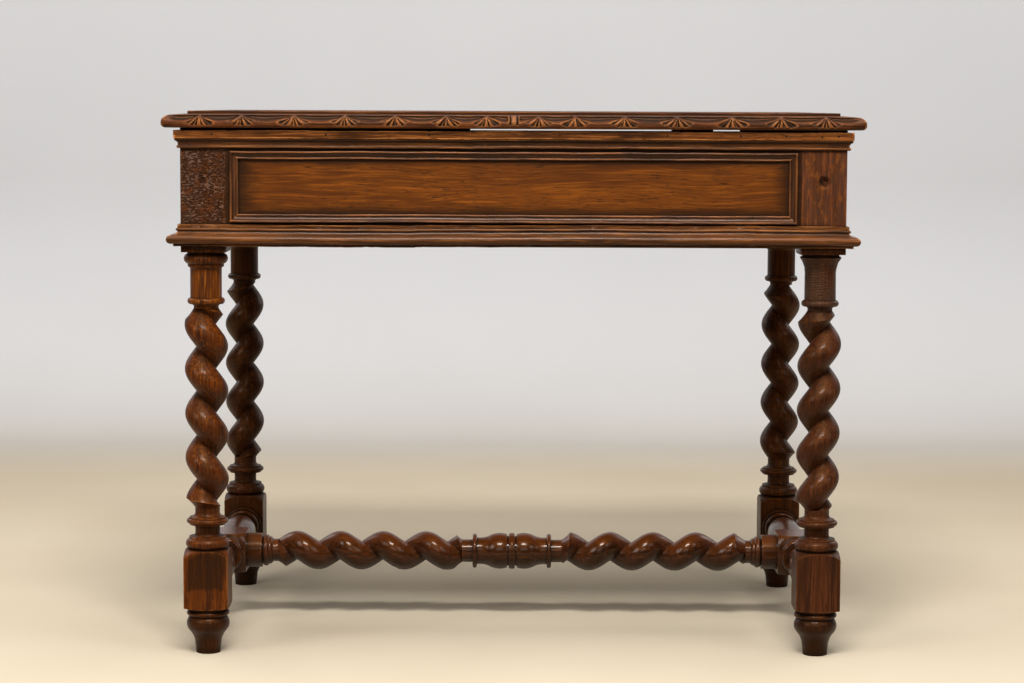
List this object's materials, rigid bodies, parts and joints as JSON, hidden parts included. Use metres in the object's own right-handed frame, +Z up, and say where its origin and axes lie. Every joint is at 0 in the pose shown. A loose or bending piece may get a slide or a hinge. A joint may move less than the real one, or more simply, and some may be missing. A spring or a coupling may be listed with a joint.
{
  "type": "writing table",
  "caption": "Antique oak writing table with barley-twist legs, a twisted H stretcher, a panelled box frieze and a carved-edge lid that lifts on rear hinges.",
  "frame": {"origin": "on the floor, under the middle of the table", "axes": "+Z up, +X along the front towards its right end, the front faces -Y"},
  "size_m": [0.982, 0.64, 0.773],
  "materials": {
    "leg_oak": "old satin polish",
    "stretcher_oak": "rubbed satin polish",
    "panel_oak": "old wax polish",
    "moulding_oak": "old dark polish",
    "carved_edge_oak": "old dark polish",
    "lid_oak": "old wax polish",
    "bottom_oak": "unfinished",
    "peg_oak": "old dark polish",
    "hinge_iron": "dull blackened"
  },
  "bodies": {
    "table": {"apron_pegs": "peg_oak", "bottom_front_board": "bottom_oak", "bottom_left_bearer": "bottom_oak", "bottom_middle_board": "bottom_oak", "bottom_rear_board": "bottom_oak", "bottom_right_bearer": "bottom_oak", "centre_stretcher": "stretcher_oak", "front_apron": "panel_oak", "front_base_moulding": "moulding_oak", "front_cornice": "moulding_oak", "front_left_leg": "leg_oak", "front_panel_moulding_bottom": "moulding_oak", "front_panel_moulding_left": "moulding_oak", "front_panel_moulding_right": "moulding_oak", "front_panel_moulding_top": "moulding_oak", "front_right_leg": "leg_oak", "left_apron": "panel_oak", "left_base_moulding": "moulding_oak", "left_cornice": "moulding_oak", "left_hinge_frame_leaf": "hinge_iron", "left_hinge_pin": "hinge_iron", "left_panel_moulding_bottom": "moulding_oak", "left_panel_moulding_left": "moulding_oak", "left_panel_moulding_right": "moulding_oak", "left_panel_moulding_top": "moulding_oak", "left_stretcher": "stretcher_oak", "rear_apron": "panel_oak", "rear_base_moulding": "moulding_oak", "rear_cornice": "moulding_oak", "rear_left_leg": "leg_oak", "rear_panel_moulding_bottom": "moulding_oak", "rear_panel_moulding_left": "moulding_oak", "rear_panel_moulding_right": "moulding_oak", "rear_panel_moulding_top": "moulding_oak", "rear_right_leg": "leg_oak", "right_apron": "panel_oak", "right_base_moulding": "moulding_oak", "right_cornice": "moulding_oak", "right_hinge_frame_leaf": "hinge_iron", "right_hinge_pin": "hinge_iron", "right_panel_moulding_bottom": "moulding_oak", "right_panel_moulding_left": "moulding_oak", "right_panel_moulding_right": "moulding_oak", "right_panel_moulding_top": "moulding_oak", "right_stretcher": "stretcher_oak"},
    "lid": {"left_hinge_lid_leaf": "hinge_iron", "lid_front_board": "lid_oak", "lid_front_edge": "carved_edge_oak", "lid_left_batten": "lid_oak", "lid_left_edge": "carved_edge_oak", "lid_middle_board": "lid_oak", "lid_rear_board": "lid_oak", "lid_rear_edge": "carved_edge_oak", "lid_right_batten": "lid_oak", "lid_right_edge": "carved_edge_oak", "right_hinge_lid_leaf": "hinge_iron"}
  },
  "joints": [
    {"name": "lid_hinge", "type": "hinge", "parent": "table", "child": "lid", "pos_m": [0, 0.3075, 0.746], "axis": [-1, 0, 0], "range_deg": [0, 100]}
  ]
}
